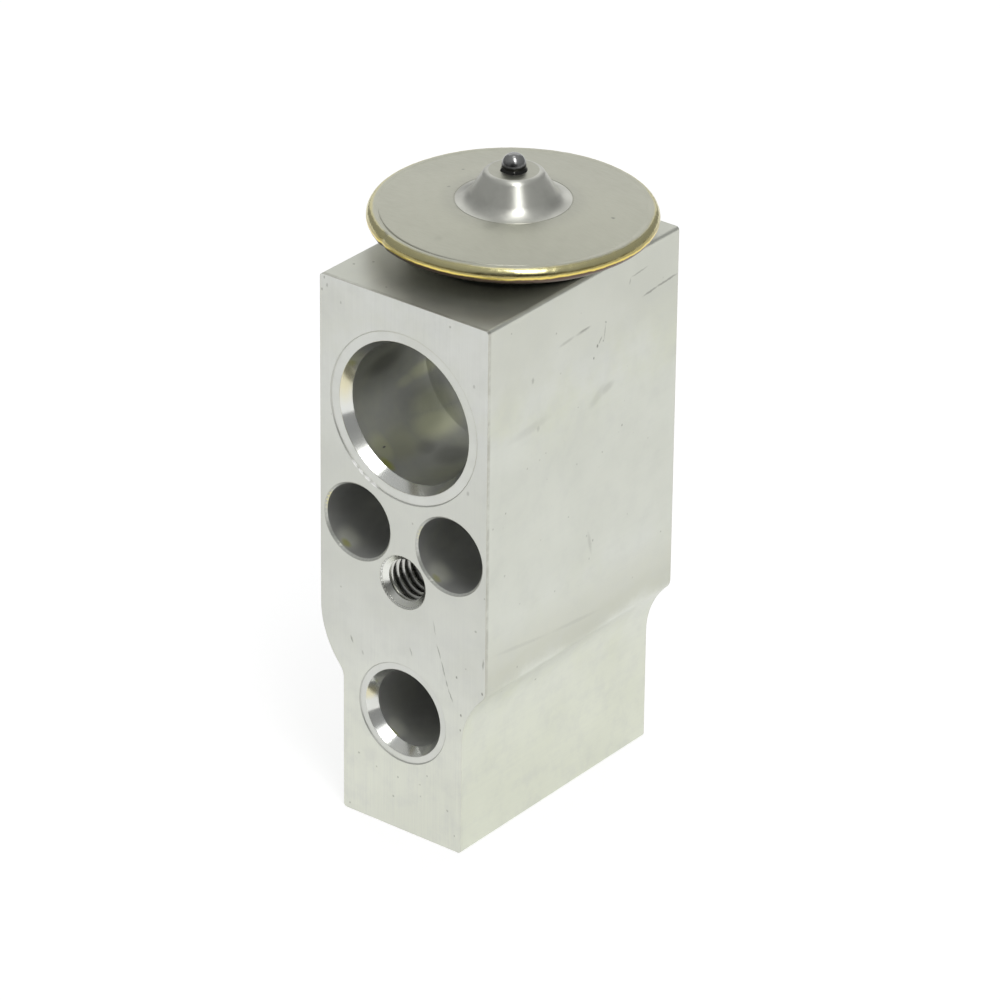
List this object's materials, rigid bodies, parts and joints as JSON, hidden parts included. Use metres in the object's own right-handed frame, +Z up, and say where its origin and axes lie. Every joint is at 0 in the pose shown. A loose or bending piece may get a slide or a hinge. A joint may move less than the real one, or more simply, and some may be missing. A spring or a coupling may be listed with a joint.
{
  "type": "block expansion valve",
  "caption": "Block-type expansion valve for a vehicle air conditioner: drilled aluminium block, welded diaphragm head on top, ball valve train inside and a screw adjuster in the base.",
  "frame": {"origin": "on the base plane, in the middle of the rectangle that encloses the block and the overhanging head seen from above", "axes": "+Z up along the valve axis towards the head, -Y out of the front face with the liquid inlet and the threaded hole, +X to the right seen from the front"},
  "size_m": [0.0318, 0.0348, 0.0757],
  "materials": {
    "block_aluminium": "extruded and milled, satin",
    "base_steel": "turned, dull",
    "cover_steel": "pressed, satin",
    "plug_steel": "polished, dark",
    "diaphragm_steel": "rolled, bright",
    "weld_steel": "weld bead with heat tint",
    "seal_rubber": "matt",
    "train_steel": "ground",
    "spring_steel": "drawn, bright",
    "rod_aluminium": "turned",
    "screw_brass": "turned"
  },
  "bodies": {
    "block": {"valve_block": "block_aluminium", "head_base": "base_steel", "head_cover": "cover_steel", "charge_plug": "plug_steel", "diaphragm": "diaphragm_steel", "rim_weld": "weld_steel", "head_seal": "seal_rubber", "rod_seal": "seal_rubber", "seal_retainer": "spring_steel", "valve_spring": "spring_steel"},
    "stem": {"stopper_disc": "train_steel", "sensing_rod": "rod_aluminium", "push_rod": "train_steel", "valve_ball": "train_steel", "ball_carrier": "train_steel", "damper_spring": "spring_steel"},
    "adjuster_carriage": {"screw_seal": "seal_rubber"},
    "adjuster": {"adjusting_screw": "screw_brass"}
  },
  "joints": [
    {"name": "stem_lift", "type": "slide", "parent": "block", "child": "stem", "axis": [0, 0, 1], "range_m": [0, 0.0007], "stiffness_N_per_m": 500, "deforming": ["valve_spring", "diaphragm"]},
    {"name": "adjuster_travel", "type": "slide", "parent": "block", "child": "adjuster_carriage", "axis": [0, 0, 1], "range_m": [-0.001, 0.001], "deforming": ["valve_spring"]},
    {"name": "adjuster_turn", "type": "hinge", "parent": "adjuster_carriage", "child": "adjuster", "pos_m": [0, 0.00147, 0], "axis": [0, 0, 1], "range_deg": [-360, 360]}
  ],
  "couplings": [
    {"joint": "adjuster_travel", "follows": "adjuster_turn", "m_per_rad": 0.00015915}
  ]
}
